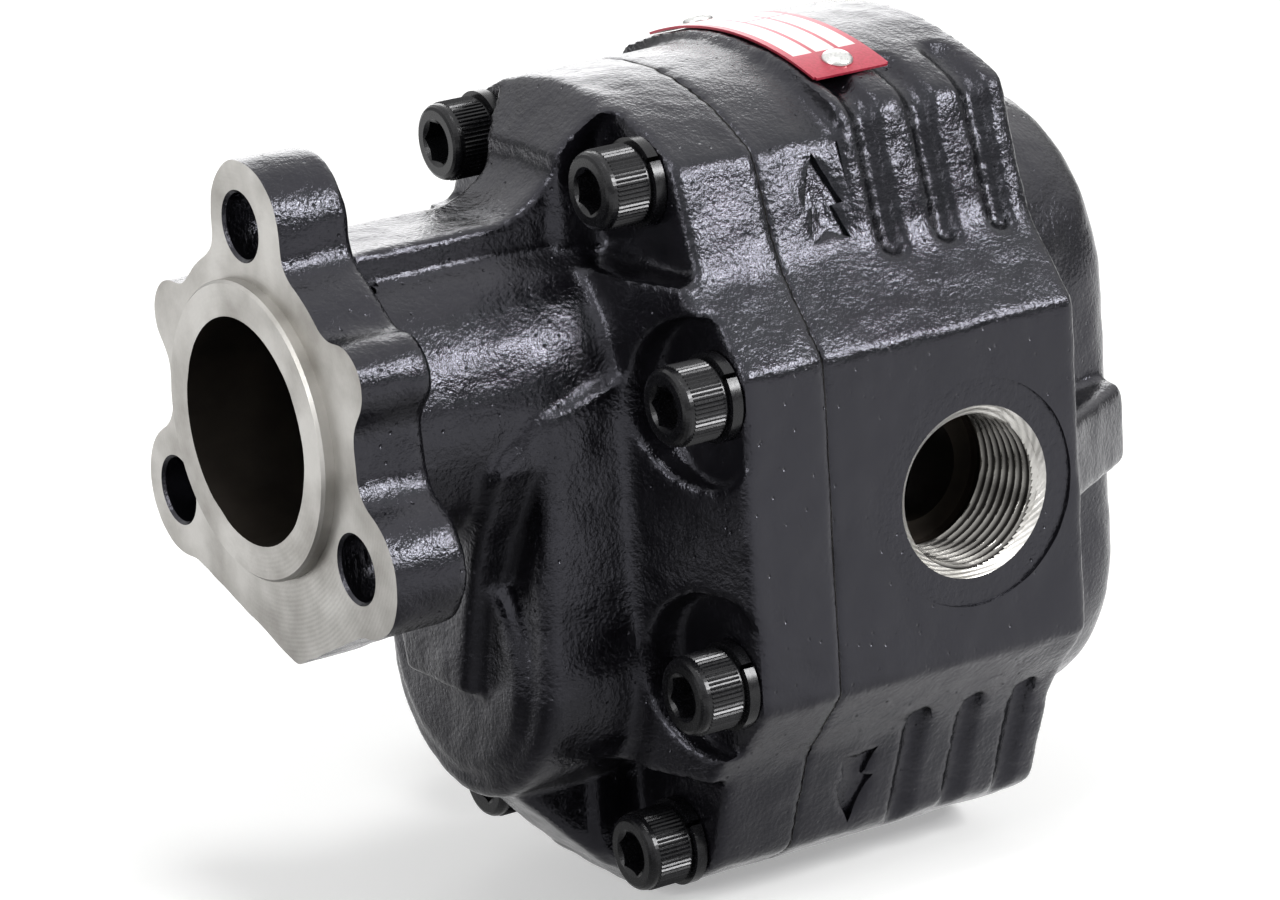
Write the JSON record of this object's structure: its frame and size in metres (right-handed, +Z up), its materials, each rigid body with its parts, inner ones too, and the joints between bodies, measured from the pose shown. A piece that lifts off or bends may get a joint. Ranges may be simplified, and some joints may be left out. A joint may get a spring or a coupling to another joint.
{
  "type": "hydraulic gear pump",
  "caption": "Bi-rotational external gear pump with a round-pilot bolt flange, recessed splined drive shaft, meshing gears and threaded side ports.",
  "frame": {"origin": "centre of the round pilot, on the flange's mounting face", "axes": "+Y along the drive axis from the flange towards the body, +Z up with the driven gear below the drive gear, the two ports face +X and -X"},
  "size_m": [0.1186, 0.1822, 0.1684],
  "materials": {
    "enamelled_iron": "gloss black enamel over sand-cast iron, machined faces bare",
    "gear_steel": "case-hardened and ground",
    "bush_bronze": "lined bearing bronze",
    "plate_bronze": "ground bronze",
    "seal_rubber": "moulded nitrile rubber",
    "backup_plastic": "moulded plastic",
    "spring_steel": "oiled spring steel",
    "plain_steel": "ground steel",
    "black_steel": "black oxide",
    "plate_aluminium": "red printed aluminium",
    "rivet_aluminium": "bright aluminium"
  },
  "bodies": {
    "housing": {"front_cover": "enamelled_iron", "pump_body": "enamelled_iron", "front_drive_bush": "bush_bronze", "front_driven_bush": "bush_bronze", "rear_drive_bush": "bush_bronze", "rear_driven_bush": "bush_bronze", "front_wear_plate": "plate_bronze", "rear_wear_plate": "plate_bronze", "front_plate_seal": "seal_rubber", "rear_plate_seal": "seal_rubber", "front_plate_backup": "backup_plastic", "rear_plate_backup": "backup_plastic", "case_seal": "seal_rubber", "outer_shaft_seal": "seal_rubber", "inner_shaft_seal": "seal_rubber", "outer_seal_spring": "spring_steel", "inner_seal_spring": "spring_steel", "seal_spacer": "plain_steel", "seal_circlip": "spring_steel", "cap_screws": "black_steel", "spring_washers": "black_steel", "dowels": "plain_steel", "nameplate": "plate_aluminium", "nameplate_rivets": "rivet_aluminium"},
    "drive_gear": {"drive_gear": "gear_steel"},
    "driven_gear": {"driven_gear": "gear_steel"}
  },
  "joints": [
    {"name": "drive_spin", "type": "hinge", "parent": "housing", "child": "drive_gear", "pos_m": [0, 0, 0], "axis": [0, 1, 0], "continuous": true},
    {"name": "driven_spin", "type": "hinge", "parent": "housing", "child": "driven_gear", "pos_m": [0, 0.1215, -0.054], "axis": [0, 1, 0], "continuous": true}
  ],
  "couplings": [
    {"joint": "driven_spin", "follows": "drive_spin", "ratio": -1}
  ]
}
